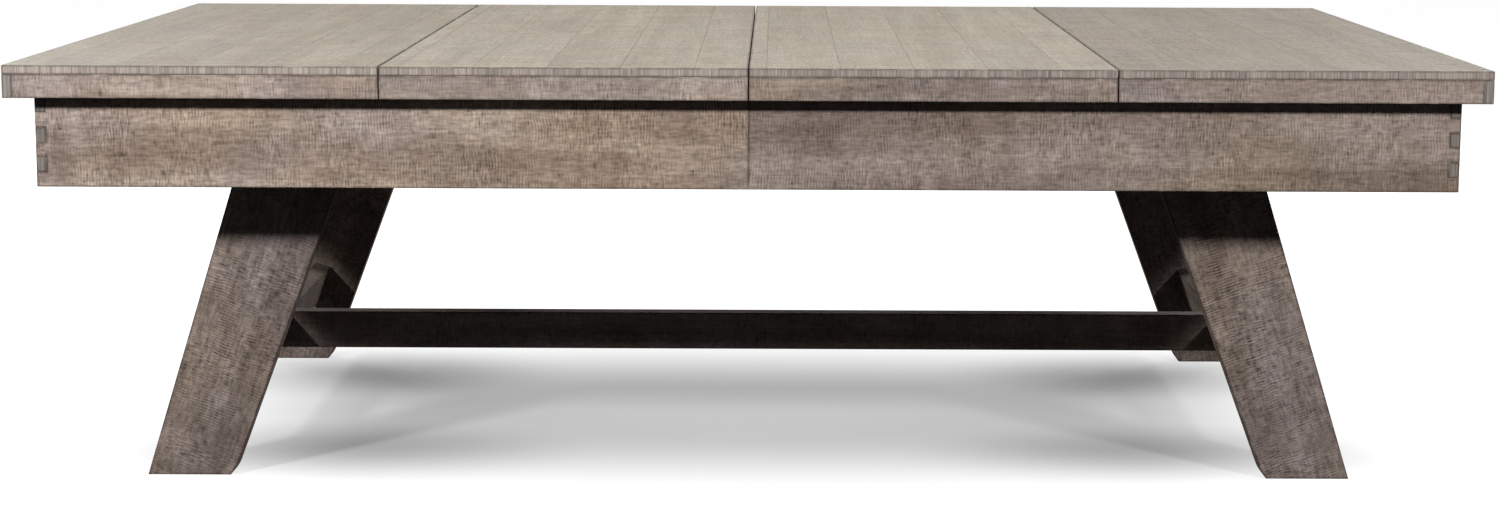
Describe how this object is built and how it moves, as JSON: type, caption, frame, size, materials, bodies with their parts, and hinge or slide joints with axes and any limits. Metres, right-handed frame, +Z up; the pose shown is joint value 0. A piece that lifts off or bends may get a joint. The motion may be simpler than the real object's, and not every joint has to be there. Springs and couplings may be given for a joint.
{
  "type": "pool table",
  "caption": "Pool table with a lift-off panelled dining top over rails, slate bed and drop pockets, in a finger-jointed cabinet on leaning plank trestles.",
  "frame": {"origin": "on the floor under the middle of the table", "axes": "+X along the table's length towards its right end, +Y across it towards the back, +Z up"},
  "size_m": [2.642, 1.524, 0.8],
  "materials": {
    "top_wood": "matte rough-sawn weathered grey-brown",
    "skirt_wood": "matte rough-sawn weathered grey-brown",
    "rail_wood": "matte rough-sawn weathered grey-brown",
    "cabinet_wood": "matte rough-sawn weathered grey-brown",
    "leg_wood": "matte rough-sawn weathered grey-brown",
    "frame_wood": "matte planed softwood",
    "backing_board": "matte fibreboard",
    "slate": "matte honed slate",
    "billiard_cloth": "matte worsted wool",
    "cushion_rubber": "matte, covered in the bed's cloth",
    "pocket_leather": "satin black",
    "sight_resin": "satin off-white",
    "felt": "matte needle felt",
    "steel": "satin zinc plated"
  },
  "bodies": {
    "table": {"end_rail_left": "rail_wood", "cabinet_end_left": "cabinet_wood", "lower_cross_beam_left": "leg_wood", "side_rail_front_left": "rail_wood", "cabinet_front_left": "cabinet_wood", "leg_front_left": "leg_wood", "side_rail_back_left": "rail_wood", "cabinet_back_left": "cabinet_wood", "leg_back_left": "leg_wood", "end_rail_right": "rail_wood", "cabinet_end_right": "cabinet_wood", "lower_cross_beam_right": "leg_wood", "side_rail_front_right": "rail_wood", "cabinet_front_right": "cabinet_wood", "leg_front_right": "leg_wood", "side_rail_back_right": "rail_wood", "cabinet_back_right": "cabinet_wood", "leg_back_right": "leg_wood", "bed_beam_front": "frame_wood", "bed_beam_back": "frame_wood", "end_cushions": "cushion_rubber", "side_cushions": "cushion_rubber", "rail_sights": "sight_resin", "corner_pockets": "pocket_leather", "side_pockets": "pocket_leather", "bed_cloth": "billiard_cloth", "slate_left": "slate", "slate_centre": "slate", "slate_right": "slate", "slate_backing": "backing_board", "slate_screws": "steel", "bed_cross_beams": "frame_wood", "cabinet_blocks": "frame_wood", "upper_cross_beams": "leg_wood", "stretcher": "leg_wood", "beam_dowels": "frame_wood", "hex_bolts": "steel", "leveler_inserts": "steel"},
    "panel_1": {"top_slab_1": "top_wood", "top_front_skirt_1": "skirt_wood", "top_back_skirt_1": "skirt_wood", "top_pads_1": "felt", "top_end_skirt_left": "skirt_wood"},
    "panel_2": {"top_slab_2": "top_wood", "top_front_skirt_2": "skirt_wood", "top_back_skirt_2": "skirt_wood", "top_pads_2": "felt"},
    "panel_3": {"top_slab_3": "top_wood", "top_front_skirt_3": "skirt_wood", "top_back_skirt_3": "skirt_wood", "top_pads_3": "felt"},
    "panel_4": {"top_slab_4": "top_wood", "top_front_skirt_4": "skirt_wood", "top_back_skirt_4": "skirt_wood", "top_pads_4": "felt", "top_end_skirt_right": "skirt_wood"},
    "foot_front_left": {"leveler_front_left": "steel"},
    "foot_front_right": {"leveler_front_right": "steel"},
    "foot_back_left": {"leveler_back_left": "steel"},
    "foot_back_right": {"leveler_back_right": "steel"}
  },
  "joints": [
    {"name": "panel_1_lift", "type": "slide", "parent": "table", "child": "panel_1", "axis": [0, 0, 1], "range_m": [0, 0.25]},
    {"name": "panel_2_lift", "type": "slide", "parent": "table", "child": "panel_2", "axis": [0, 0, 1], "range_m": [0, 0.25]},
    {"name": "panel_3_lift", "type": "slide", "parent": "table", "child": "panel_3", "axis": [0, 0, 1], "range_m": [0, 0.25]},
    {"name": "panel_4_lift", "type": "slide", "parent": "table", "child": "panel_4", "axis": [0, 0, 1], "range_m": [0, 0.25]},
    {"name": "leveler_front_left_screw", "type": "slide", "parent": "table", "child": "foot_front_left", "axis": [0, 0, -1], "range_m": [0, 0.012]},
    {"name": "leveler_front_right_screw", "type": "slide", "parent": "table", "child": "foot_front_right", "axis": [0, 0, -1], "range_m": [0, 0.012]},
    {"name": "leveler_back_left_screw", "type": "slide", "parent": "table", "child": "foot_back_left", "axis": [0, 0, -1], "range_m": [0, 0.012]},
    {"name": "leveler_back_right_screw", "type": "slide", "parent": "table", "child": "foot_back_right", "axis": [0, 0, -1], "range_m": [0, 0.012]}
  ]
}
